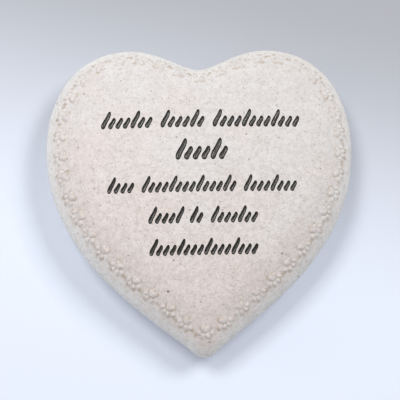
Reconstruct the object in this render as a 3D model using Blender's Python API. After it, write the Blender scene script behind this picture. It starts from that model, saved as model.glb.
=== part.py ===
"""Heart-shaped memorial stone, cast in one piece: a pillowed face with a border of raised paw prints
and five rows of engraved strokes, on a flat back.

It lies on its back, face up, with the tip towards -Y. The origin is the middle of its underside.
"""

import math
from collections import namedtuple

import bmesh
import bpy
from mathutils import Matrix, Vector
from mathutils.bvhtree import BVHTree
from mathutils.geometry import interpolate_bezier

# Outline of the stone at its girth, the widest level
STONE_WIDTH = 0.150
STONE_LENGTH = 0.151
LOBE_SPREAD = 0.0335  # from the middle line to the top of each lobe
CLEFT_DEPTH = 0.010  # from the top of the lobes down to the foot of the cleft
WIDEST_DROP = 0.049  # from the top of the lobes down to the widest place
TIP_ANGLE = math.radians(97)
TIP_RADIUS = 0.007

# Fullness of the curves, as shares of the distance that each one spans
CLEFT_PULL = 0.22
LOBE_PULL_IN = 0.43
LOBE_PULL_OUT = 0.70
FLANK_PULL_UP = 0.48
FLANK_PULL_DOWN = 0.45
SIDE_PULL = 0.22
TIP_SOFTENING = 0.5  # how much rounder the tip gets for each length that the outline is drawn in

# Section of the stone, from its flat back up to the crown of the face
GIRTH_HEIGHT = 0.016
BACK_ROLL_WIDTH = 0.007
SHOULDER_WIDTH = 0.020
SHOULDER_RISE = 0.014
CROWN_RISE = 0.008
CROWN_REACH = 0.080  # from the crown to where its rise has died out
CROWN_FROM_TIP = 0.083

# Paw prints along the border
PAW_PITCH = 0.0102
PAW_INSET = 0.008  # from the girth outline in to the middle of a print
PAW_RELIEF = 0.0009
PAW_SINK = 0.0005  # how deep the mounds reach into the stone
PAD_WIDTH = 0.0044
PAD_LENGTH = 0.0036
PAD_SETBACK = 0.0014  # from the middle of a print in to the middle of its pad
TOE_WIDTH = 0.0017
TOE_LENGTH = 0.0022
TOE_REACH = 0.0037  # from the middle of the pad to the middle of a toe
TOE_COUNT = 4
TOE_STEP = math.radians(36)
MOUND_TOP_SHARE = 0.65  # top of a pad or toe, as a share of its footprint

# Rows of engraved strokes, which stand where an inscription would
Row = namedtuple("Row", "foot scale words")
ROWS = (
    Row(foot=0.0316, scale=1.1, words=(7, 6, 12)),
    Row(foot=0.0158, scale=1.3, words=(6,)),
    Row(foot=0.0005, scale=1.0, words=(4, 14, 8)),
    Row(foot=-0.0141, scale=1.0, words=(5, 2, 7)),
    Row(foot=-0.0289, scale=1.0, words=(16,)),
)
STROKE_PITCH = 0.00315
STROKE_WIDTH = 0.0019
STROKE_HEIGHT = 0.0054
TALL_STROKE_HEIGHT = 0.0086
TALL_EVERY = 4
WORD_GAP = 0.0034
STROKE_SLANT = math.radians(22)
STROKE_DEPTH = 0.0008

# Fineness of the faceted solid
AROUND = 84
BACK_STEPS = 3
SHOULDER_STEPS = 4
CROWN_STEPS = 3
CURVE_STEPS = 40
END_SIDES = 2  # facets in each end of a stroke
PAD_SIDES = 6
TOE_SIDES = 5

STONE_COLOUR = (0.70, 0.66, 0.63, 1.0)
STONE_ROUGHNESS = 0.8
PAINT_COLOUR = (0.012, 0.012, 0.012, 1.0)
PAINT_ROUGHNESS = 0.25
QUARTER = math.pi / 2
UP = Vector((0, 0, 1))
ABOVE_ALL = 2 * (GIRTH_HEIGHT + SHOULDER_RISE + CROWN_RISE)


def clear_scene():
    for item in list(bpy.data.objects):
        bpy.data.objects.remove(item)


def half_outline(inset):
    """Right half of the outline, drawn in by inset, from the foot of the cleft round to the tip."""
    top = STONE_LENGTH / 2 - inset
    cleft = Vector((0, top - CLEFT_DEPTH, 0))
    lobe = Vector((LOBE_SPREAD, top, 0))
    flank = Vector((STONE_WIDTH / 2 - inset, STONE_LENGTH / 2 - WIDEST_DROP, 0))
    lean = TIP_ANGLE / 2
    radius = TIP_RADIUS + TIP_SOFTENING * inset
    rounding = TIP_RADIUS - (TIP_RADIUS - inset - radius) / math.sin(lean)
    tip_centre = Vector((0, rounding - STONE_LENGTH / 2, 0))
    foot = tip_centre + radius * Vector((math.cos(lean), -math.sin(lean), 0))
    up_side = Vector((math.sin(lean), math.cos(lean), 0))
    across, drop, span = flank.x - lobe.x, top - flank.y, (flank - foot).length
    right, up = Vector((1, 0, 0)), Vector((0, 1, 0))
    curves = (
        (cleft, cleft + right * CLEFT_PULL * lobe.x, lobe - right * LOBE_PULL_IN * lobe.x, lobe),
        (lobe, lobe + right * LOBE_PULL_OUT * across, flank + up * FLANK_PULL_UP * drop, flank),
        (flank, flank - up * FLANK_PULL_DOWN * span, foot + up_side * SIDE_PULL * span, foot),
    )
    points = [cleft]
    for curve in curves:
        points += interpolate_bezier(*curve, CURVE_STEPS)[1:]
    for step in range(1, CURVE_STEPS + 1):
        turn = -lean - (QUARTER - lean) * step / CURVE_STEPS
        points.append(tip_centre + radius * Vector((math.cos(turn), math.sin(turn), 0)))
    return points


def evenly_spaced(points, count):
    """The ends of count equal lengths along a run of points."""
    lengths = [(b - a).length for a, b in zip(points, points[1:])]
    stride = sum(lengths) / count
    spots, walked = [points[0]], 0.0
    for a, b, length in zip(points, points[1:], lengths):
        while len(spots) < count and walked + length >= stride * len(spots):
            spots.append(a.lerp(b, (stride * len(spots) - walked) / length))
        walked += length
    return spots + [points[-1]]


def closed_outline(inset, count_in_half):
    """Whole outline, clockwise from the cleft, as evenly spaced points."""
    right = evenly_spaced(half_outline(inset), count_in_half)
    left = [Vector((-spot.x, spot.y, 0)) for spot in reversed(right[1:-1])]
    return right + left


def face_height(spot, rise_share):
    """Height of the face over a spot: the shoulder's rise and the crown's, grown in by rise_share."""
    crown = Vector((0, CROWN_FROM_TIP - STONE_LENGTH / 2, 0))
    crown_share = 1 - ((spot - crown).length / CROWN_REACH) ** 2
    return GIRTH_HEIGHT + rise_share * (SHOULDER_RISE + CROWN_RISE * crown_share)


def section_rings():
    """Rings of points from the edge of the flat back, over the girth and the shoulder, to the crown."""
    rings = []
    for step in range(BACK_STEPS):
        turn = QUARTER * step / BACK_STEPS
        inset, height = BACK_ROLL_WIDTH * (1 - math.sin(turn)), GIRTH_HEIGHT * (1 - math.cos(turn))
        rings.append([spot + UP * height for spot in closed_outline(inset, AROUND // 2)])
    for step in range(SHOULDER_STEPS + 1):
        turn = QUARTER * step / SHOULDER_STEPS
        spots = closed_outline(SHOULDER_WIDTH * (1 - math.cos(turn)), AROUND // 2)
        rings.append([spot + UP * face_height(spot, math.sin(turn)) for spot in spots])
    crown = Vector((0, CROWN_FROM_TIP - STONE_LENGTH / 2, 0))
    for step in range(1, CROWN_STEPS):
        inner = [spot.lerp(crown, step / CROWN_STEPS) for spot in spots[::2 ** step]]
        rings.append([spot + UP * face_height(spot, 1) for spot in inner])
    return rings, crown + UP * face_height(crown, 1)


def join_rings(bm, lower, upper):
    """A band of faces between two rings, of which the upper may have half as many points."""
    thinned = len(lower) // len(upper)
    for i in range(len(upper)):
        a, b = upper[i - 1], upper[i]
        foot = [lower[thinned * (i - 1) + k] for k in range(thinned)] + [lower[thinned * i]]
        bm.faces.new((*foot, b, a))


def pillow_mesh():
    """The stone without its carving, as one closed body of triangles."""
    bm = bmesh.new()
    rings, crown = section_rings()
    loops = [[bm.verts.new(point) for point in ring] for ring in rings]
    for lower, upper in zip(loops, loops[1:]):
        join_rings(bm, lower, upper)
    top = bm.verts.new(crown)
    for before, after in zip(loops[-1], loops[-1][1:] + loops[-1][:1]):
        bm.faces.new((before, after, top))
    bm.faces.new(loops[0])
    bmesh.ops.recalc_face_normals(bm, faces=bm.faces)
    bmesh.ops.triangulate(bm, faces=bm.faces)
    return bm


def seat_on(face, spot, heading):
    """Placement on the face over a spot: Z along the surface's normal and Y towards heading."""
    place, normal, _, _ = face.ray_cast(Vector((spot.x, spot.y, ABOVE_ALL)), -UP)
    forward = (heading - normal * normal.dot(heading)).normalized()
    turn = Matrix((forward.cross(normal), forward, normal)).transposed().to_4x4()
    return Matrix.Translation(place) @ turn


def mound(bm, seat, width, length, sides):
    """A low facetted mound that stands on a seat and reaches into the stone under it."""
    height = PAW_RELIEF + PAW_SINK
    base = MOUND_TOP_SHARE + (1 - MOUND_TOP_SHARE) * height / PAW_RELIEF
    lift = Matrix.Translation((0, 0, height / 2 - PAW_SINK))
    shape = seat @ lift @ Matrix.Diagonal((width / 2, length / 2, 1, 1))
    bmesh.ops.create_cone(
        bm, cap_ends=True, segments=sides, radius1=base, radius2=MOUND_TOP_SHARE, depth=height, matrix=shape
    )


def paw_print(bm, face, middle, heading):
    """One pad with its toes fanned out towards the edge of the stone."""
    seat = seat_on(face, middle, heading)
    pad = Vector((0, -PAD_SETBACK, 0))
    mound(bm, seat_on(face, seat @ pad, heading), PAD_WIDTH, PAD_LENGTH, PAD_SIDES)
    for toe in range(TOE_COUNT):
        turn = Matrix.Rotation(TOE_STEP * (toe - (TOE_COUNT - 1) / 2), 4, "Z")
        spot = pad + turn @ Vector((0, TOE_REACH, 0))
        mound(bm, seat_on(face, seat @ spot, turn @ heading), TOE_WIDTH, TOE_LENGTH, TOE_SIDES)


def paw_border(face):
    """Paw prints at an even pitch all round the shoulder, one in the cleft and one at the tip."""
    bm = bmesh.new()
    run = half_outline(PAW_INSET)
    length = sum((b - a).length for a, b in zip(run, run[1:]))
    spots = closed_outline(PAW_INSET, round(length / PAW_PITCH))
    for i, spot in enumerate(spots):
        along = spots[(i + 1) % len(spots)] - spots[i - 1]
        paw_print(bm, face, spot, UP.cross(along))
    return bm


def row_feet(row):
    """Where the strokes of a row stand, left to right, each with whether it is a tall one."""
    pitch, gap = STROKE_PITCH * row.scale, WORD_GAP * row.scale
    lean = math.sin(STROKE_SLANT) * STROKE_HEIGHT * row.scale
    x = -(pitch * (sum(row.words) - 1) + gap * (len(row.words) - 1) + lean) / 2
    for word in row.words:
        for stroke in range(word):
            yield x, stroke % TALL_EVERY == 0
            x += pitch
        x += gap


def stroke_cutter(bm, seat, width, length):
    """A round-ended bar that reaches the stroke's depth under its seat."""
    radius, reach = width / 2, (length - width) / 2
    rim = []
    for end, start in ((reach, 0.0), (-reach, math.pi)):
        for side in range(END_SIDES + 1):
            turn = start + math.pi * side / END_SIDES
            rim.append(Vector((radius * math.cos(turn), end + radius * math.sin(turn), -STROKE_DEPTH)))
    base = bm.faces.new([bm.verts.new(seat @ point) for point in rim])
    sweep = bmesh.ops.extrude_face_region(bm, geom=[base])
    raised = [item for item in sweep["geom"] if isinstance(item, bmesh.types.BMVert)]
    bmesh.ops.translate(bm, vec=seat.col[2].xyz * STROKE_DEPTH * 2, verts=raised)


def inscription_cutters(face):
    """The bars that cut the rows of strokes, all slanted alike, each square to the face."""
    bm = bmesh.new()
    lean = Vector((math.sin(STROKE_SLANT), math.cos(STROKE_SLANT), 0))
    for row in ROWS:
        for x, tall in row_feet(row):
            height = row.scale * (TALL_STROKE_HEIGHT if tall else STROKE_HEIGHT)
            middle = Vector((x, row.foot, 0)) + lean * height / 2
            stroke_cutter(bm, seat_on(face, middle, lean), STROKE_WIDTH * row.scale, height)
    bmesh.ops.recalc_face_normals(bm, faces=bm.faces)
    return bm


def material(name, colour, roughness):
    made = bpy.data.materials.new(name)
    made.use_nodes = True
    shader = made.node_tree.nodes["Principled BSDF"]
    shader.inputs["Base Color"].default_value = colour
    shader.inputs["Roughness"].default_value = roughness
    shader.inputs["Metallic"].default_value = 0.0
    return made


def add_object(name, bm, finish):
    mesh = bpy.data.meshes.new(name)
    bm.to_mesh(mesh)
    bm.free()
    mesh.materials.append(finish)
    item = bpy.data.objects.new(name, mesh)
    bpy.context.scene.collection.objects.link(item)
    return item


def combine(stone, tool, operation):
    """Joins a tool to the stone or cuts it out, and keeps the tool as a hidden guide."""
    tool.hide_render = True
    tool.display_type = "WIRE"
    step = stone.modifiers.new(tool.name, "BOOLEAN")
    step.operation = operation
    step.solver = "EXACT"
    step.material_mode = "TRANSFER"
    step.object = tool


def main():
    clear_scene()
    cast_stone = material("cast_stone", STONE_COLOUR, STONE_ROUGHNESS)
    stroke_paint = material("stroke_paint", PAINT_COLOUR, PAINT_ROUGHNESS)
    pillow = pillow_mesh()
    face = BVHTree.FromBMesh(pillow)
    stone = add_object("memorial_stone", pillow, cast_stone)
    combine(stone, add_object("paw_border", paw_border(face), cast_stone), "UNION")
    combine(stone, add_object("stroke_cutters", inscription_cutters(face), stroke_paint), "DIFFERENCE")
    stone.data.shade_smooth()
    stone.data.set_sharp_from_angle(angle=math.radians(40))


main()
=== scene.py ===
"""Heart-shaped memorial stone: a cast stone pillow with a border of raised paw prints and painted strokes.

The stone is modelled in five steps, each an operator: the shell and face of the pillow, the paw prints,
the uneven cast surface, the engraved strokes, and the finish. A sixth operator sets the stage.
"""

import math

import bmesh
import bpy
from bpy.props import FloatProperty, FloatVectorProperty, IntProperty, PointerProperty
from bpy.types import Operator, Panel, PropertyGroup
from mathutils import Matrix, Vector
from mathutils.bvhtree import BVHTree
from mathutils.geometry import interpolate_bezier
from mathutils.kdtree import KDTree


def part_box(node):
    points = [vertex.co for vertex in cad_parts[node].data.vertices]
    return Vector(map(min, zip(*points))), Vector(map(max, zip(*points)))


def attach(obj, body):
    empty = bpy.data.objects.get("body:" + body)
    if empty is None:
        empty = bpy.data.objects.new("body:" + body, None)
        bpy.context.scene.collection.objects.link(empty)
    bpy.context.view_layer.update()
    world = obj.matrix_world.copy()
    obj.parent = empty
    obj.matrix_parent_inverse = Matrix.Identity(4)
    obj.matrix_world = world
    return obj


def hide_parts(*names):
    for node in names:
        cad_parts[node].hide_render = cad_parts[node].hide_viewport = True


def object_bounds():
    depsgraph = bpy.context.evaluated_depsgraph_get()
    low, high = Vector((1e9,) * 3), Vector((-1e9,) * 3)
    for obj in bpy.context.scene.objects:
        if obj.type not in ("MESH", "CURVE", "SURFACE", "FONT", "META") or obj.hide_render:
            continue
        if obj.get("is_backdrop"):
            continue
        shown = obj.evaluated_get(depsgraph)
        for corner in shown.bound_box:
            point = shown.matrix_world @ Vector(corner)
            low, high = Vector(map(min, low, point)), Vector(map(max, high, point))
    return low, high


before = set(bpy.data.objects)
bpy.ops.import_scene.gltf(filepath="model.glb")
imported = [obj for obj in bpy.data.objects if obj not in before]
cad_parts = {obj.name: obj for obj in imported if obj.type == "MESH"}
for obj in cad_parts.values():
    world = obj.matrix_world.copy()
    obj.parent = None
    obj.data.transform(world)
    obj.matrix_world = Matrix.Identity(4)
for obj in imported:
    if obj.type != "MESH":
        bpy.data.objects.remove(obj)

bl_info = {
    "name": "Memorial Stone",
    "version": (1, 0, 0),
    "blender": (4, 5, 0),
    "location": "3D View > Sidebar > Memorial Stone",
    "description": "Models a heart-shaped memorial stone with paw prints and engraved strokes",
    "category": "Add Mesh",
}

CAD_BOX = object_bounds()
CAD_NODE = "memorial_stone"
LOW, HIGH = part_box(CAD_NODE)
STONE = "cast_heart"
QUARTER = math.pi / 2
UP = Vector((0, 0, 1))
PHOTO_SIDE = 400  # pixels along each side of the photograph
MM_PER_M = 1000

# Fineness of the mesh
CURVE_STEPS = 48  # points along each curve of the outline
BACK_ROLL_STEPS = 11  # rings round the rolled edge under the girth
PRINT_BAND = 0.0052  # from the middle of the prints to where the fine rings end
COARSE_SPACING = 0.00085  # between rings inside the prints
FINE_SPACING = 0.00043  # between rings under the prints
RIM_SPACING = 0.000602  # between rings outside the prints
FACE_GAP = 0.0006  # between the shell's first ring and the rim of the face
CUTTER_SEGMENTS = 14
CUTTER_RINGS = 16


def length(name, description, default):
    return FloatProperty(name=name, description=description, default=default, unit="LENGTH", precision=5)


def share(name, description, default):
    return FloatProperty(name=name, description=description, default=default, min=0.0)


def angle(name, description, degrees):
    return FloatProperty(name=name, description=description, default=math.radians(degrees), subtype="ANGLE")


def number(name, description, default):
    return IntProperty(name=name, description=description, default=default, min=1)


def colour(name, description, default):
    return FloatVectorProperty(
        name=name, description=description, default=default, size=3, subtype="COLOR", min=0.0, max=1.0
    )


class PillowSizes(PropertyGroup):
    width: length("Width", "Across the widest place, at the girth", HIGH.x - LOW.x)
    tall: length("Length", "From the top of the lobes to the tip, at the girth", HIGH.y - LOW.y)
    thickness: length("Thickness", "From the flat back to the crown", HIGH.z - LOW.z)
    lobe_spread: length("Lobe spread", "From the middle line to the top of a lobe", 0.0335)
    cleft_depth: length("Cleft depth", "From the top of the lobes to the foot of the cleft", 0.010)
    widest_drop: length("Widest drop", "From the top of the lobes to the widest place", 0.049)
    tip_angle: angle("Tip angle", "Angle between the two sides at the tip", 97)
    tip_radius: length("Tip radius", "Rounding of the tip at the girth", 0.007)
    tip_softening: share("Tip softening", "How much rounder the tip gets on the way in", 0.5)
    cleft_pull: share("Cleft pull", "Fullness of the curve at the cleft", 0.22)
    lobe_pull_in: share("Inner lobe pull", "Fullness of a lobe towards the cleft", 0.43)
    lobe_pull_out: share("Outer lobe pull", "Fullness of a lobe towards the flank", 0.70)
    flank_pull_up: share("Upper flank pull", "Fullness of the flank towards the lobe", 0.48)
    flank_pull_down: share("Lower flank pull", "Fullness of the flank towards the tip", 0.45)
    side_pull: share("Side pull", "Fullness of the side near the tip", 0.22)
    girth_height: length("Girth height", "From the flat back up to the widest level", 0.016)
    back_roll: length("Back roll", "Width of the rolled edge under the girth", 0.007)
    shoulder: length("Shoulder", "Width of the rolled edge above the girth", 0.020)
    crown_rise: length("Crown rise", "How far the face swells above its shoulder", 0.008)
    crown_reach: length("Crown reach", "From the crown to where its swell has died out", 0.080)
    crown_from_tip: length("Crown from tip", "From the tip to the crown, measured flat", 0.083)
    spokes: number("Spokes", "Edges around the side of the stone", 924)


class PawSizes(PropertyGroup):
    pitch: length("Pitch", "From one paw print to the next", 0.0102)
    inset: length("Inset", "From the girth outline in to the middle of a print", 0.008)
    relief: length("Relief", "Height of the prints over the face", 0.0009)
    setback: length("Pad setback", "From the middle of a print in to its pad", 0.0014)
    pad_width: length("Pad width", "Across the pad's two heel lobes", 0.0044)
    pad_length: length("Pad length", "From the front of the pad to its heel", 0.0036)
    toe_width: length("Toe width", "Across a toe", 0.0019)
    toe_length: length("Toe length", "Along a toe", 0.0026)
    toe_reach: length("Toe reach", "From the middle of the pad to a toe", 0.0037)
    toe_step: angle("Toe step", "Angle from one toe to the next", 36)
    toes: number("Toes", "Toes of each print", 4)


class StrokeSizes(PropertyGroup):
    pitch: length("Pitch", "From one stroke to the next", 0.00315)
    width: length("Width", "Across a stroke", 0.0020)
    short: length("Short stroke", "Height of a short stroke", 0.0054)
    high: length("Tall stroke", "Height of a tall stroke", 0.0086)
    tall_every: number("Tall every", "Strokes from one tall one to the next", 4)
    gap: length("Word gap", "Extra room between two groups of strokes", 0.0034)
    slant: angle("Slant", "Lean of the strokes from upright", 22)
    depth: length("Depth", "Depth of the grooves", 0.0008)


class StoneFinish(PropertyGroup):
    pink: colour("Pink stone", "Pinkish patches of the casting", (0.672, 0.606, 0.594))
    pale: colour("Pale stone", "Neutral patches of the casting", (0.664, 0.649, 0.652))
    # The edge colour is paler partly as the rims' own skin and partly as painted light that lifts the shade
    # on the sloping sides.
    edge: colour("Edge stone", "Paler skin on the rolled edges", (0.850, 0.842, 0.826))
    # The fine grains' colour also serves as the colour of the painted shade to the right.
    speck_and_shade: colour("Fine specks", "Colour of the fine grains", (0.330, 0.275, 0.240))
    fleck: colour("Flecks", "Colour of the larger grains", (0.190, 0.165, 0.150))
    dot: colour("Dark dots", "Colour of the few darkest grains", (0.060, 0.055, 0.050))
    # Brown wash round the prints, which also stands as painted shade in the hollows at their feet.
    wash_and_shade: colour("Wash", "Brown wash left around the paw prints", (0.440, 0.350, 0.270))
    paint: colour("Paint", "Gloss paint in the strokes", (0.014, 0.013, 0.012))
    # Grey places in the paint: partly thin paint, partly a painted sheen standing for the paint's gloss.
    paint_worn_and_sheen: colour("Worn paint", "Thin places of the paint", (0.130, 0.127, 0.110))


class StageSettings(PropertyGroup):
    near_floor: colour("Near floor", "Colour of the floor before the tip", (0.700, 0.750, 0.862))
    # The far floor's grey is painted shade, darker behind the lobes.
    far_floor_shade: colour("Far floor", "Colour of the floor behind the lobes", (0.362, 0.372, 0.404))
    softbox_tint: colour("Softbox tint", "Colour of the softboxes' light", (1.0, 0.99, 0.97))
    sky_tint: colour("Sky tint", "Colour of the light from all round", (0.965, 0.98, 1.0))
    sky_strength: share("Sky strength", "Strength of the light from all round", 0.39)
    horizon: length("Horizon", "From the stone's middle to the middle of the floor's change", 0.045)
    grading: length("Grading", "Depth of the change from near to far floor", 0.17)
    distance: length("Camera distance", "From the place that the camera aims at to the camera", 0.450)
    tilt: angle("Camera tilt", "Lean of the view from straight above towards the tip", 10)
    sway: angle("Camera sway", "Lean of the view from straight above towards the left lobe", 2.4)
    roll: angle("Camera roll", "Turn of the picture", 1.4)
    scale: FloatProperty(name="Scale", description="Photo pixels to a millimetre at the girth", default=2.053)
    aim_right: length("Aim right", "From the stone's middle to the middle of the picture, across", -0.0005)
    aim_up: length("Aim up", "From the stone's middle to the middle of the picture, up", 0.0004)


SETTINGS = {
    "memorial_pillow": PillowSizes,
    "memorial_paws": PawSizes,
    "memorial_strokes": StrokeSizes,
    "memorial_finish": StoneFinish,
    "memorial_stage": StageSettings,
}

# Rows of strokes: the height of their feet over the stone's middle, their scale, and strokes in each group
ROWS = (
    (0.0316, 1.1, (7, 6, 12)),
    (0.0158, 1.3, (6,)),
    (0.0005, 1.0, (4, 14, 8)),
    (-0.0141, 1.0, (5, 2, 7)),
    (-0.0289, 1.0, (16,)),
)

# Softboxes: name, place, width, depth and power in watts
LIGHTS = (
    ("back left", (-0.36, 0.36, 0.97), 0.40, 0.34, 5.7),
    ("back right", (0.56, 0.36, 0.92), 0.40, 0.34, 6.3),
    ("left", (-0.95, 0.15, 0.40), 0.60, 0.40, 1.5),
    ("front", (0.00, -0.95, 0.34), 0.50, 0.30, 0.5),
)


# Shape of the pillow

def half_outline(sizes, inset):
    """Right half of the outline, drawn in by inset, from the foot of the cleft round to the tip."""
    top = sizes.tall / 2 - inset
    cleft = Vector((0, top - sizes.cleft_depth, 0))
    lobe = Vector((sizes.lobe_spread, top, 0))
    flank = Vector((sizes.width / 2 - inset, sizes.tall / 2 - sizes.widest_drop, 0))
    lean = sizes.tip_angle / 2
    radius = sizes.tip_radius + sizes.tip_softening * inset
    rounding = sizes.tip_radius - (sizes.tip_radius - inset - radius) / math.sin(lean)
    tip_centre = Vector((0, rounding - sizes.tall / 2, 0))
    foot = tip_centre + radius * Vector((math.cos(lean), -math.sin(lean), 0))
    up_side = Vector((math.sin(lean), math.cos(lean), 0))
    across, drop, span = flank.x - lobe.x, top - flank.y, (flank - foot).length
    right, up = Vector((1, 0, 0)), Vector((0, 1, 0))
    curves = (
        (
            cleft,
            cleft + right * sizes.cleft_pull * lobe.x,
            lobe - right * sizes.lobe_pull_in * lobe.x,
            lobe,
        ),
        (
            lobe,
            lobe + right * sizes.lobe_pull_out * across,
            flank + up * sizes.flank_pull_up * drop,
            flank,
        ),
        (
            flank,
            flank - up * sizes.flank_pull_down * span,
            foot + up_side * sizes.side_pull * span,
            foot,
        ),
    )
    points = [cleft]
    for curve in curves:
        points += interpolate_bezier(*curve, CURVE_STEPS)[1:]
    for step in range(1, CURVE_STEPS + 1):
        turn = -lean - (QUARTER - lean) * step / CURVE_STEPS
        points.append(tip_centre + radius * Vector((math.cos(turn), math.sin(turn), 0)))
    return points


def run_length(points):
    return sum((b - a).length for a, b in zip(points, points[1:]))


def closed_outline(sizes, inset, count):
    """The whole outline, clockwise from the cleft, as count evenly spaced points."""
    run = half_outline(sizes, inset)
    stride = run_length(run) / (count // 2)
    spots, walked = [run[0]], 0.0
    for a, b in zip(run, run[1:]):
        step = (b - a).length
        while len(spots) < count // 2 and walked + step >= stride * len(spots):
            spots.append(a.lerp(b, (stride * len(spots) - walked) / step))
        walked += step
    spots.append(run[-1])
    return spots + [Vector((-spot.x, spot.y, 0)) for spot in reversed(spots[1:-1])]


def face_height(sizes, spot, rise_share):
    """Height of the face over a spot: the shoulder's rise and the crown's, grown in by rise_share."""
    crown = Vector((0, sizes.crown_from_tip - sizes.tall / 2, 0))
    flat = Vector((spot.x, spot.y, 0))
    swell = sizes.crown_rise * (1 - ((flat - crown).length / sizes.crown_reach) ** 2)
    shoulder_rise = sizes.thickness - sizes.girth_height - sizes.crown_rise
    return sizes.girth_height + rise_share * (shoulder_rise + swell)


def section_insets(sizes, paws):
    """Insets of the shell's rings from the face out to the girth, close together under the paw prints."""
    band_in, band_out = paws.inset + PRINT_BAND, paws.inset - PRINT_BAND
    stretches = (
        (sizes.shoulder, band_in, COARSE_SPACING),
        (band_in, band_out, FINE_SPACING),
        (band_out, 0.0, RIM_SPACING),
    )
    insets = [sizes.shoulder]
    for start, end, step in stretches:
        count = round((start - end) / step)
        insets += [start + (end - start) * i / count for i in range(1, count + 1)]
    return insets


def shell_rings(sizes, paws):
    """Rings of points from the edge of the face, over the shoulder and the girth, to the flat back."""
    for inset in section_insets(sizes, paws):
        rise_share = math.sqrt(max(0.0, 1 - (1 - inset / sizes.shoulder) ** 2))
        spots = closed_outline(sizes, inset, sizes.spokes)
        yield [spot + UP * face_height(sizes, spot, rise_share) for spot in spots]
    for step in range(1, BACK_ROLL_STEPS + 1):
        turn = QUARTER * step / BACK_ROLL_STEPS
        spots = closed_outline(sizes, sizes.back_roll * (1 - math.cos(turn)), sizes.spokes)
        yield [spot + UP * sizes.girth_height * (1 - math.sin(turn)) for spot in spots]


# Small helpers for modelling

def deselect_all():
    if bpy.context.mode != "OBJECT":
        bpy.ops.object.mode_set(mode="OBJECT")
    bpy.ops.object.select_all(action="DESELECT")


def make_active(item):
    deselect_all()
    item.select_set(True)
    bpy.context.view_layer.objects.active = item


def edit_mesh(item):
    make_active(item)
    bpy.ops.object.mode_set(mode="EDIT")
    return bmesh.from_edit_mesh(item.data)


def leave_edit(item):
    bmesh.update_edit_mesh(item.data)
    bpy.ops.object.mode_set(mode="OBJECT")


def outline_circle(name, points):
    """A circle primitive with each of its points moved onto an outline, left in edit mode."""
    deselect_all()
    bpy.ops.mesh.primitive_circle_add(vertices=len(points), radius=HIGH.x)
    item = bpy.context.active_object
    item.name = item.data.name = name
    bm = edit_mesh(item)
    spoke = bm.verts.layers.int.new("spoke")
    for vert in bm.verts:
        vert[spoke] = vert.index
        vert.co = points[vert.index]
    bpy.ops.mesh.select_all(action="SELECT")
    return item


def place_ring(item, points):
    """Moves the freshly extruded, selected ring onto its points."""
    bm = bmesh.from_edit_mesh(item.data)
    spoke = bm.verts.layers.int["spoke"]
    for vert in bm.verts:
        if vert.select:
            vert.co = points[vert[spoke]]


def apply_modifiers(item):
    make_active(item)
    for modifier in list(item.modifiers):
        bpy.ops.object.modifier_apply(modifier=modifier.name)


def seat_on(surface, spot, heading):
    """Placement on the face over a spot: Z along the surface's normal and Y towards heading."""
    place, normal, _, _ = surface.ray_cast(Vector((spot.x, spot.y, 2 * HIGH.z)), -UP)
    forward = (heading - normal * normal.dot(heading)).normalized()
    turn = Matrix((forward.cross(normal), forward, normal)).transposed().to_4x4()
    return Matrix.Translation(place) @ turn


def surface_of(item):
    return BVHTree.FromPolygons(
        [vert.co for vert in item.data.vertices], [face.vertices for face in item.data.polygons]
    )


# The pillow: a shell extruded ring by ring, and a face filled as a grid and bridged to it

def model_shell(sizes, paws):
    rings = shell_rings(sizes, paws)
    shell = outline_circle(STONE, next(rings))
    for ring in rings:
        bpy.ops.mesh.extrude_region()
        place_ring(shell, ring)
    bpy.ops.mesh.edge_face_add()
    leave_edit(shell)
    return shell


def model_face(sizes):
    """The face inside the shoulder, as an even grid drawn up to the crown.

    Its rim has two points for three spokes of the shell, and the grid's first corner is an eighth of the
    way round it.
    """
    count = sizes.spokes * 2 // 3
    outline = closed_outline(sizes, sizes.shoulder + FACE_GAP, count)
    face = outline_circle("face", outline)
    bm = bmesh.from_edit_mesh(face.data)
    bm.select_history.clear()
    bm.verts.ensure_lookup_table()
    bm.select_history.add(bm.verts[count // 8])
    bpy.ops.mesh.fill_grid(span=count // 4, offset=0)
    bm = bmesh.from_edit_mesh(face.data)
    for vert in bm.verts:
        vert.co.z = face_height(sizes, vert.co, 1)
    leave_edit(face)
    return face


def bridge_face(shell, face):
    make_active(shell)
    face.select_set(True)
    bpy.ops.object.join()
    bpy.ops.object.mode_set(mode="EDIT")
    bpy.ops.mesh.select_all(action="DESELECT")
    bpy.ops.mesh.select_non_manifold()
    bpy.ops.mesh.bridge_edge_loops()
    bpy.ops.mesh.select_all(action="SELECT")
    bpy.ops.mesh.normals_make_consistent(inside=False)
    bpy.ops.object.mode_set(mode="OBJECT")


class MEMORIAL_OT_pillow(Operator):
    """Model the heart-shaped pillow with its flat back"""

    bl_idname = "memorial.pillow"
    bl_label = "Model Pillow"

    def execute(self, context):
        sizes, paws = context.scene.memorial_pillow, context.scene.memorial_paws
        bridge_face(model_shell(sizes, paws), model_face(sizes))
        return {"FINISHED"}


# The paw prints: painted as weights on the shoulder and raised from them

# Mounds of a pad: place aside, place forward, width and length, all as shares of the pad
PAD_MOUNDS = (
    (0.0, 0.10, 0.82, 0.90),
    (-0.26, -0.18, 0.52, 0.62),
    (0.26, -0.18, 0.52, 0.62),
)
MOUND_FULLNESS = 0.95  # 1 gives a plain dome and less a fuller one
MOUND_BLEND = 3  # how sharply two mounds meet
PRINT_REACH = 0.56  # of the pitch, from the middle of a print to where its marks end
WASH_SHADE_SIZE = 1.34  # size of the hollow with brown wash and painted shade, as a share of the print
WASH_SHADE_RISE = 3  # how soon the wash and painted shade are full, in from its rim
WASH_SHADE_FALL = 2.2  # how soon the wash and painted shade are gone, up a mound


def dome(x, y, width, tall):
    """Height share of a rounded mound over its middle."""
    reach = math.hypot(2 * x / width, 2 * y / tall)
    return max(0.0, 1 - reach ** 2) ** MOUND_FULLNESS


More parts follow.
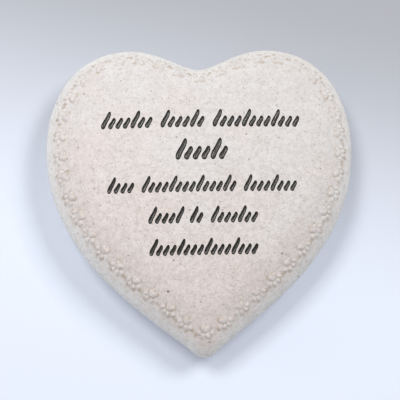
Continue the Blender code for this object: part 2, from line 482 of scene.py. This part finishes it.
def print_height(paws, x, y):
    """Height share of a paw print at a place on it, with Y towards the toes."""
    back = y + paws.setback
    wide, deep = paws.pad_width, paws.pad_length
    mounds = []
    for aside, forward, width, tall in PAD_MOUNDS:
        mounds.append(dome(x - aside * wide, back - forward * deep, width * wide, tall * deep))
    for toe in range(paws.toes):
        turn = paws.toe_step * (toe - (paws.toes - 1) / 2)
        along = back * math.cos(turn) - x * math.sin(turn)
        aside = x * math.cos(turn) + back * math.sin(turn)
        mounds.append(dome(aside, along - paws.toe_reach, paws.toe_width, paws.toe_length))
    return min(1.0, sum(mound ** MOUND_BLEND for mound in mounds) ** (1 / MOUND_BLEND))


def print_seats(sizes, paws, surface):
    """Placement of every print: at an even pitch round the shoulder, with its toes towards the edge."""
    count = 2 * round(run_length(half_outline(sizes, paws.inset)) / paws.pitch)
    spots = closed_outline(sizes, paws.inset, count)
    for i, spot in enumerate(spots):
        along = spots[(i + 1) % count] - spots[i - 1]
        yield seat_on(surface, spot, UP.cross(along))


def paint_prints(stone, sizes, paws):
    """Writes each print's height into a vertex group, and the hollow around it, which takes a brown wash and
    painted shade, into an attribute.
    """
    seats = list(print_seats(sizes, paws, surface_of(stone)))
    nearest = KDTree(len(seats))
    for i, seat in enumerate(seats):
        nearest.insert(seat.translation, i)
    nearest.balance()
    inward = [seat.inverted() for seat in seats]
    heights, washes_and_shade = [], []
    for vert in stone.data.vertices:
        _, i, distance = nearest.find(vert.co)
        x, y, _ = inward[i] @ vert.co
        height = around = 0.0
        if distance < paws.pitch * PRINT_REACH:
            height = print_height(paws, x, y)
            around = print_height(paws, x / WASH_SHADE_SIZE, (y + paws.setback) / WASH_SHADE_SIZE - paws.setback)
        heights.append(height)
        washes_and_shade.append(min(1.0, WASH_SHADE_RISE * around) * (1 - min(1.0, WASH_SHADE_FALL * height)))
    group = stone.vertex_groups.new(name="paw_prints")
    for index, height in enumerate(heights):
        if height > 0:
            group.add([index], height, "REPLACE")
    stone.data.attributes.new("wash_and_shade", "FLOAT", "POINT").data.foreach_set("value", washes_and_shade)


class MEMORIAL_OT_paw_prints(Operator):
    """Raise the border of paw prints on the shoulder"""

    bl_idname = "memorial.paw_prints"
    bl_label = "Raise Paw Prints"

    def execute(self, context):
        sizes, paws = context.scene.memorial_pillow, context.scene.memorial_paws
        stone = bpy.data.objects[STONE]
        paint_prints(stone, sizes, paws)
        raised = stone.modifiers.new("raised", "DISPLACE")
        raised.vertex_group = "paw_prints"
        raised.strength = paws.relief
        raised.mid_level = 0.0
        apply_modifiers(stone)
        return {"FINISHED"}


# The cast surface: slow dents and a fine tooth

# Unevenness of the surface: name, size of its features and depth
UNEVENNESS = (
    ("slow_dents", 0.016, 0.0005),
    ("fine_tooth", 0.0014, 0.00016),
)
FADE_HEIGHT = 0.006  # from the flat back up to where the unevenness is full


def uneven(stone, name, feature, depth, group):
    """A displacement by soft clouds of one size, held off the flat back by a vertex group."""
    clouds = bpy.data.textures.new(name, "CLOUDS")
    clouds.noise_scale = feature
    clouds.noise_depth = 2
    dents = stone.modifiers.new(name, "DISPLACE")
    dents.texture = clouds
    dents.texture_coords = "LOCAL"
    dents.strength = depth
    dents.mid_level = 0.5
    dents.vertex_group = group


class MEMORIAL_OT_cast_surface(Operator):
    """Give the casting its slow dents and fine tooth"""

    bl_idname = "memorial.cast_surface"
    bl_label = "Roughen Casting"

    def execute(self, context):
        stone = bpy.data.objects[STONE]
        group = stone.vertex_groups.new(name="open_surface")
        for vert in stone.data.vertices:
            group.add([vert.index], min(1.0, vert.co.z / FADE_HEIGHT), "REPLACE")
        for name, feature, depth in UNEVENNESS:
            uneven(stone, name, feature, depth, group.name)
        apply_modifiers(stone)
        return {"FINISHED"}


# The strokes: round-bottomed grooves, cut and painted

STROKE_BOW = 0.10  # how far a stroke bends aside, as a share of its width
STROKE_TAPER = 0.16  # how much wider its foot is than its middle, and its top narrower
STROKE_BLUNTNESS = 5  # 2 gives an oval and more a bar with blunt ends


def row_feet(strokes, scale, words):
    """Where the strokes of a row stand, left to right, each with whether it is a tall one."""
    pitch, gap = strokes.pitch * scale, strokes.gap * scale
    lean = math.sin(strokes.slant) * strokes.short * scale
    x = -(pitch * (sum(words) - 1) + gap * (len(words) - 1) + lean) / 2
    for word in words:
        for stroke in range(word):
            yield x, stroke % strokes.tall_every == 0
            x += pitch
        x += gap


def shape_cutter(cutter, width, tall, depth):
    """Turns a ball whose poles lie along Y into a long blunt bar with a gentle double bend."""
    pole = 1e-6
    for vert in cutter.data.vertices:
        x, y, z = vert.co
        ring = math.hypot(x, z)
        full = math.sqrt(max(0.0, 1 - abs(y) ** STROKE_BLUNTNESS)) * (1 - STROKE_TAPER * y)
        if ring > pole:
            x *= full / ring
            z *= full / ring
        bend = STROKE_BOW * width * math.sin(math.pi * y)
        vert.co = (x * width / 2 + bend, y * tall / 2, z * depth)


def add_cutter(seat, width, tall, depth):
    deselect_all()
    bpy.ops.mesh.primitive_uv_sphere_add(segments=CUTTER_SEGMENTS, ring_count=CUTTER_RINGS, radius=1)
    cutter = bpy.context.active_object
    cutter.data.transform(Matrix.Rotation(QUARTER, 4, "X"))
    shape_cutter(cutter, width, tall, depth)
    cutter.data.transform(seat)
    return cutter


def add_cutters(strokes, surface):
    lean = Vector((math.sin(strokes.slant), math.cos(strokes.slant), 0))
    cutters = []
    for foot, scale, words in ROWS:
        for x, tall in row_feet(strokes, scale, words):
            height = scale * (strokes.high if tall else strokes.short)
            middle = Vector((x, foot, 0)) + lean * height / 2
            seat = seat_on(surface, middle, lean)
            cutters.append(add_cutter(seat, strokes.width * scale, height, strokes.depth))
    deselect_all()
    for cutter in cutters:
        cutter.select_set(True)
    bpy.context.view_layer.objects.active = cutters[0]
    bpy.ops.object.join()
    return bpy.context.active_object


class MEMORIAL_OT_strokes(Operator):
    """Engrave the rows of strokes and give their grooves the paint"""

    bl_idname = "memorial.strokes"
    bl_label = "Engrave Strokes"

    def execute(self, context):
        stone = bpy.data.objects[STONE]
        cutters = add_cutters(context.scene.memorial_strokes, surface_of(stone))
        finish = context.scene.memorial_finish
        for material in (cast_stone(finish), stroke_paint(finish)):
            stone.data.materials.append(material)
            cutters.data.materials.append(material)
        for face in cutters.data.polygons:
            face.material_index = 1
        cut = stone.modifiers.new("strokes", "BOOLEAN")
        cut.operation = "DIFFERENCE"
        cut.solver = "EXACT"
        cut.material_mode = "INDEX"
        cut.object = cutters
        apply_modifiers(stone)
        bpy.data.objects.remove(cutters)
        return {"FINISHED"}


# Materials

# Patterns: size of features, detail, roughness, noise where they start and are full, and strength
CLOUDS = (0.0060, 2.0, 0.6, 0.35, 0.70, 0.11)
MOTTLE = (0.0020, 3.0, 0.65, 0.38, 0.68, 0.24)
SAND = (0.00075, 2.0, 0.7, 0.50, 0.72, 0.38)
# Grey places of the strokes' paint: thin paint and a painted sheen.
THIN_PAINT_AND_SHEEN = (0.0014, 3.0, 0.6, 0.52, 0.75, 0.5)

# Reliefs: size of features, detail, roughness, height and strength
STONE_TOOTH = (0.0005, 3.0, 0.65, 0.00015, 0.6)
STONE_LUMPS = (0.0018, 2.0, 0.6, 0.00035, 0.5)
PAINT_LUMPS = (0.0006, 2.0, 0.5, 0.0001, 0.4)
SPECK_PITS = (0.00010, -0.5)  # height and strength alone

# Gloss: size of features, and roughness of the smoothest and the roughest places
STONE_GLOSS = (0.002, 0.72, 0.88)
PAINT_GLOSS = (0.001, 0.22, 0.40)

# Grains: distance from one to the next, radius, share of places that has one, and strength
FLECKS = (0.0040, 0.00048, 0.50, 0.70)
DOTS = (0.0090, 0.00060, 0.45, 0.85)
SPECKS = (0.0014, 0.00034, 0.72)  # their share follows from SPECK_SHARES

# Where the casting changes, and where its painted light and shade go
PATCH_SIZE = 0.028  # size of the pink and pale patches
PATCH_RANGE = (0.20, 0.78)
PINKER_LEFT, PINKER_LOWER = 3.0, 5.0  # a metre to the left or towards the tip adds this to the patches
EDGE_SLOPES = (0.985, 0.45)  # upward share of the normal where the edge, with its painted light and fewer grains, starts and is full
# How much of the edge takes the paler colour: painted light that lifts the shade on the sloping sides.
EDGE_LIGHT_COVER = 0.85
RIGHT_PAINTED_SHADE = (-0.06, 0.06, 0.0, 0.12)  # from here to there across the stone, this little to that much painted shade, greyer to the right
LOWER_PART = (0.055, -0.030)  # places along the stone between which its grains get denser
MOTTLE_SHARES = (0.75, 1.1)  # of the mottle, at the lobes and at the tip
SPECK_SHARES = (0.45, 0.85)  # of the places with specks, at the lobes and at the tip
EDGE_SAND, EDGE_SPECKS = 0.5, 0.4  # what the edges keep of the sand and the specks
WASH_SHADE_PATTERN = (0.0045, 0.38, 0.64, 0.16, 0.80)  # brown wash, partly painted shade: size, noise at the start and full, faintest and strongest


class Nodes:
    """Adds nodes to a material and links them, so that a finish reads from top to bottom."""

    def __init__(self, name):
        self.material = bpy.data.materials.new(name)
        self.material.use_nodes = True
        self.tree = self.material.node_tree
        self.shader = self.tree.nodes["Principled BSDF"]
        self.place = self.add("ShaderNodeTexCoord").outputs["Object"]

    def add(self, kind, inputs=None, **settings):
        node = self.tree.nodes.new(kind)
        for key, value in settings.items():
            setattr(node, key, value)
        for key, value in (inputs or {}).items():
            self.put(node.inputs[key], value)
        return node

    def put(self, socket, value):
        if isinstance(value, bpy.types.NodeSocket):
            self.tree.links.new(value, socket)
        else:
            socket.default_value = value

    def noise(self, feature, detail=2.0, roughness=0.5):
        inputs = {"Vector": self.place, "Scale": 1 / feature, "Detail": detail, "Roughness": roughness}
        return self.add("ShaderNodeTexNoise", inputs).outputs["Fac"]

    def spread(self, value, low, high, to_low=0.0, to_high=1.0):
        inputs = {0: value, 1: low, 2: high, 3: to_low, 4: to_high}
        return self.add("ShaderNodeMapRange", inputs, interpolation_type="SMOOTHSTEP").outputs[0]

    def pattern(self, feature, detail, roughness, start, full, strength):
        return self.spread(self.noise(feature, detail, roughness), start, full, 0.0, strength)

    def math(self, operation, a, b=0.0):
        return self.add("ShaderNodeMath", {0: a, 1: b}, operation=operation).outputs[0]

    def shared(self, value, by, low, high):
        """The value times a share that goes from low to high as by goes from 0 to 1."""
        return self.math("MULTIPLY", value, self.spread(by, 0.0, 1.0, low, high))

    def vector(self, operation, inputs, output="Vector"):
        return self.add("ShaderNodeVectorMath", inputs, operation=operation).outputs[output]

    def mix(self, factor, a, b):
        a = a if isinstance(a, bpy.types.NodeSocket) else (*a, 1.0)
        inputs = {0: factor, 6: a, 7: (*b, 1.0)}
        return self.add("ShaderNodeMix", inputs, data_type="RGBA").outputs[2]

    def warped(self, feature, amount):
        """Object coordinates shaken by noise, so that round patterns come out irregular."""
        shake = self.add("ShaderNodeTexNoise", {"Vector": self.place, "Scale": 1 / feature, "Detail": 1.0})
        middle = (0.5, 0.5, 0.5)
        push = self.vector("SUBTRACT", {0: shake.outputs["Color"], 1: middle})
        push = self.vector("SCALE", {0: push, "Scale": amount})
        return self.vector("ADD", {0: self.place, 1: push})

    def grains(self, cell, radius, kept):
        """Irregular grains of varied depth, one in some cells of a 3D pattern, cut by the surface.

        Of the cells, the share in kept has a grain. A grain fades out between two shares of its radius.
        """
        core, rim = 0.55 * radius / cell, 1.3 * radius / cell
        faintest = 0.35
        place = self.warped(feature=radius * 2.0, amount=radius * 1.6)
        cells = self.add("ShaderNodeTexVoronoi", {"Vector": place, "Scale": 1 / cell})
        grain = self.spread(cells.outputs["Distance"], core, rim, 1.0, 0.0)
        picks = self.add("ShaderNodeSeparateColor", {0: cells.outputs["Color"]}).outputs
        grain = self.math("MULTIPLY", grain, self.math("LESS_THAN", picks[0], kept))
        return self.shared(grain, picks[1], faintest, 1.0)

    def add_grains(self, grains, strength, tint, colour):
        return self.mix(self.math("MULTIPLY", grains, strength), tint, colour)

    def bump(self, height, distance, strength, under=None):
        inputs = {"Height": height, "Distance": distance, "Strength": strength}
        if under:
            inputs["Normal"] = under
        return self.add("ShaderNodeBump", inputs).outputs[0]

    def relief(self, feature, detail, roughness, height, strength, under=None):
        return self.bump(self.noise(feature, detail, roughness), height, strength, under)

    def gloss(self, feature, smoothest, roughest):
        roughness = self.spread(self.noise(feature), 0.3, 0.7, smoothest, roughest)
        self.put(self.shader.inputs["Roughness"], roughness)


def casting_tint_and_painted_light(n, finish, across, along, edge):
    """The casting without its grains: pink and pale patches, paler edges as painted light on the shaded
    slopes, and painted shade that makes it greyer to the right.
    """
    lean = n.math("ADD", n.math("MULTIPLY", across, PINKER_LEFT), n.math("MULTIPLY", along, PINKER_LOWER))
    patches = n.spread(n.math("SUBTRACT", n.noise(PATCH_SIZE), lean), *PATCH_RANGE)
    tint = n.mix(patches, finish.pale, finish.pink)
    # Painted light: the sloping edges are made paler to lift the shade that falls on them.
    tint = n.mix(n.math("MULTIPLY", edge, EDGE_LIGHT_COVER), tint, finish.edge)
    # Painted shade: greyer towards the right, as if less lit there.
    return n.mix(n.spread(across, *RIGHT_PAINTED_SHADE), tint, finish.speck_and_shade)


def add_mottle(n, finish, tint, lower, edge):
    """Clouds, mottle and sand: mottle is stronger towards the tip and sand is weaker on the edges."""
    mottle = n.shared(n.pattern(*MOTTLE), lower, *MOTTLE_SHARES)
    sand = n.shared(n.pattern(*SAND), edge, 1.0, EDGE_SAND)
    for pattern in (n.pattern(*CLOUDS), mottle, sand):
        tint = n.mix(pattern, tint, finish.speck_and_shade)
    return tint


def wash_and_shade_cover(n):
    """How much of the brown wash, partly painted shade, is left at a place: unevenly, in the hollows around
    the prints.
    """
    feature, start, full, faintest, strongest = WASH_SHADE_PATTERN
    hollow = n.add("ShaderNodeAttribute", attribute_name="wash_and_shade").outputs["Fac"]
    return n.math("MULTIPLY", hollow, n.spread(n.noise(feature), start, full, faintest, strongest))


def cast_stone(finish):
    """Warm white resin-bonded stone with brown and grey grains, denser towards the tip."""
    n = Nodes("cast_stone")
    across, along, _ = n.add("ShaderNodeSeparateXYZ", {0: n.place}).outputs
    normal = n.add("ShaderNodeNewGeometry").outputs["Normal"]
    slope = n.add("ShaderNodeSeparateXYZ", {0: normal}).outputs["Z"]
    # Where the surface slopes away: paler there as painted light, and with fewer grains.
    edge = n.spread(slope, *EDGE_SLOPES)
    lower = n.spread(along, *LOWER_PART)
    tint = casting_tint_and_painted_light(n, finish, across, along, edge)
    tint = add_mottle(n, finish, tint, lower, edge)

    gap, radius, strength = SPECKS
    kept = n.shared(n.spread(lower, 0.0, 1.0, *SPECK_SHARES), edge, 1.0, EDGE_SPECKS)
    specks = n.grains(gap, radius, kept)
    tint = n.add_grains(specks, strength, tint, finish.speck_and_shade)
    for (gap, radius, share, strength), grain_colour in ((FLECKS, finish.fleck), (DOTS, finish.dot)):
        tint = n.add_grains(n.grains(gap, radius, share), strength, tint, grain_colour)
    # A brown wash, partly painted shade, darkens the hollows around the paw prints.
    n.put(n.shader.inputs["Base Color"], n.mix(wash_and_shade_cover(n), tint, finish.wash_and_shade))

    n.gloss(*STONE_GLOSS)
    n.shader.inputs["Specular IOR Level"].default_value = 0.35
    lumps = n.relief(*STONE_LUMPS, under=n.relief(*STONE_TOOTH))
    n.put(n.shader.inputs["Normal"], n.bump(specks, *SPECK_PITS, lumps))
    return n.material


def stroke_paint(finish):
    """Black gloss paint whose grey places are partly thin paint and partly a painted sheen."""
    n = Nodes("stroke_paint")
    n.put(n.shader.inputs["Base Color"], n.mix(n.pattern(*THIN_PAINT_AND_SHEEN), finish.paint, finish.paint_worn_and_sheen))
    n.gloss(*PAINT_GLOSS)
    n.put(n.shader.inputs["Normal"], n.relief(*PAINT_LUMPS))
    return n.material


SMOOTH_BELOW = math.radians(48)  # the rims of the strokes are sharper than this and stay crisp


class MEMORIAL_OT_finish(Operator):
    """Shade the stone smooth and put it in the place of its plain solid"""

    bl_idname = "memorial.finish"
    bl_label = "Finish Stone"

    def execute(self, context):
        stone = bpy.data.objects[STONE]
        make_active(stone)
        bpy.ops.object.shade_smooth_by_angle(angle=SMOOTH_BELOW)
        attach(stone, "root")
        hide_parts(CAD_NODE)
        return {"FINISHED"}


# The stage

FLOOR_SIZE = 6
FLOOR_SHADE_WAY = (0.22, 0.97, 0)  # the way in which the painted shade on the floor deepens
SENSOR_WIDTH = 36.0  # in millimetres
NEAREST = 0.01  # how close to the camera a thing is still seen


def add_floor(stage):
    """A plain pale sheet with painted shade, graded from light before the tip to greyer behind the lobes."""
    deselect_all()
    bpy.ops.mesh.primitive_plane_add(size=FLOOR_SIZE, location=(0, 0, LOW.z))
    floor = bpy.context.active_object
    floor.name = "floor"
    n = Nodes("pale_floor")
    depth = n.vector("DOT_PRODUCT", {0: n.place, 1: FLOOR_SHADE_WAY}, "Value")
    shade_grade = n.spread(depth, stage.horizon - stage.grading / 2, stage.horizon + stage.grading / 2)
    # Painted shade: the floor greys towards the far side.
    n.put(n.shader.inputs["Base Color"], n.mix(shade_grade, stage.near_floor, stage.far_floor_shade))
    n.shader.inputs["Roughness"].default_value = 0.9
    n.shader.inputs["Specular IOR Level"].default_value = 0.2
    floor.data.materials.append(n.material)
    floor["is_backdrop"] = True


def add_softbox(name, place, wide, deep, energy, tint, aim):
    """A soft light of wide by deep that faces its aim."""
    deselect_all()
    bpy.ops.object.light_add(type="AREA", location=place)
    light = bpy.context.active_object
    light.name = name
    light.data.shape = "RECTANGLE"
    light.data.size, light.data.size_y = wide, deep
    light.data.energy = energy
    light.data.color = tint
    light.rotation_euler = (Vector(place) - Vector(aim)).to_track_quat("Z", "Y").to_euler()


def set_world(tint, strength):
    world = bpy.data.worlds.new("studio")
    world.use_nodes = True
    background = world.node_tree.nodes["Background"]
    background.inputs["Color"].default_value = (*tint, 1.0)
    background.inputs["Strength"].default_value = strength
    bpy.context.scene.world = world


def add_camera(stage, girth):
    """A camera that looks down on the stone from its tip's side, at the photograph's angle and scale."""
    deselect_all()
    aim = girth + Vector((stage.aim_right, stage.aim_up, 0))
    above = math.cos(stage.tilt)
    left, up = math.sin(stage.sway) * above, math.cos(stage.sway) * above
    back = Vector((-left, -math.sin(stage.tilt), up))
    right = Vector((0, 1, 0)).cross(back).normalized()
    turn = Matrix((right, back.cross(right), back)).transposed() @ Matrix.Rotation(-stage.roll, 3, "Z")
    bpy.ops.object.camera_add(location=aim + back * stage.distance, rotation=turn.to_euler())
    camera = bpy.context.active_object
    camera.data.sensor_width = SENSOR_WIDTH
    camera.data.lens = SENSOR_WIDTH * stage.scale * MM_PER_M * stage.distance / PHOTO_SIDE
    camera.data.clip_start = NEAREST
    bpy.context.scene.camera = camera


class MEMORIAL_OT_stage(Operator):
    """Set the floor, the soft lights and the camera"""

    bl_idname = "memorial.stage"
    bl_label = "Set Stage"

    def execute(self, context):
        stage = context.scene.memorial_stage
        girth = Vector((0, 0, context.scene.memorial_pillow.girth_height))
        add_floor(stage)
        for light in LIGHTS:
            add_softbox(*light, stage.softbox_tint, girth)
        set_world(stage.sky_tint, stage.sky_strength)
        add_camera(stage, girth)
        context.scene.view_settings.view_transform = "Standard"
        return {"FINISHED"}


STEPS = (
    MEMORIAL_OT_pillow,
    MEMORIAL_OT_paw_prints,
    MEMORIAL_OT_cast_surface,
    MEMORIAL_OT_strokes,
    MEMORIAL_OT_finish,
    MEMORIAL_OT_stage,
)


class MEMORIAL_PT_panel(Panel):
    bl_idname = "MEMORIAL_PT_panel"
    bl_label = "Memorial Stone"
    bl_space_type = "VIEW_3D"
    bl_region_type = "UI"
    bl_category = "Memorial Stone"

    def draw(self, context):
        for step in STEPS:
            self.layout.operator(step.bl_idname)
        for name, group in SETTINGS.items():
            box = self.layout.box()
            for key in group.__annotations__:
                box.prop(getattr(context.scene, name), key)


def register():
    for group in SETTINGS.values():
        bpy.utils.register_class(group)
    for item in (*STEPS, MEMORIAL_PT_panel):
        bpy.utils.register_class(item)
    for name, group in SETTINGS.items():
        setattr(bpy.types.Scene, name, PointerProperty(type=group))


def unregister():
    for name in SETTINGS:
        delattr(bpy.types.Scene, name)
    for item in (MEMORIAL_PT_panel, *reversed(STEPS), *reversed(SETTINGS.values())):
        bpy.utils.unregister_class(item)


def write_sizes():
    """Builds the solid's box and the finished model's box, each as its lowest and highest corner, and keeps
    neither.
    """
    boxes = {"cad": CAD_BOX, "visual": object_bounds()}
    {name: [list(corner) for corner in box] for name, box in boxes.items()}


def main():
    register()
    for step in STEPS:
        group, name = step.bl_idname.split(".")
        getattr(getattr(bpy.ops, group), name)()
    write_sizes()


if __name__ == "__main__":
    main()
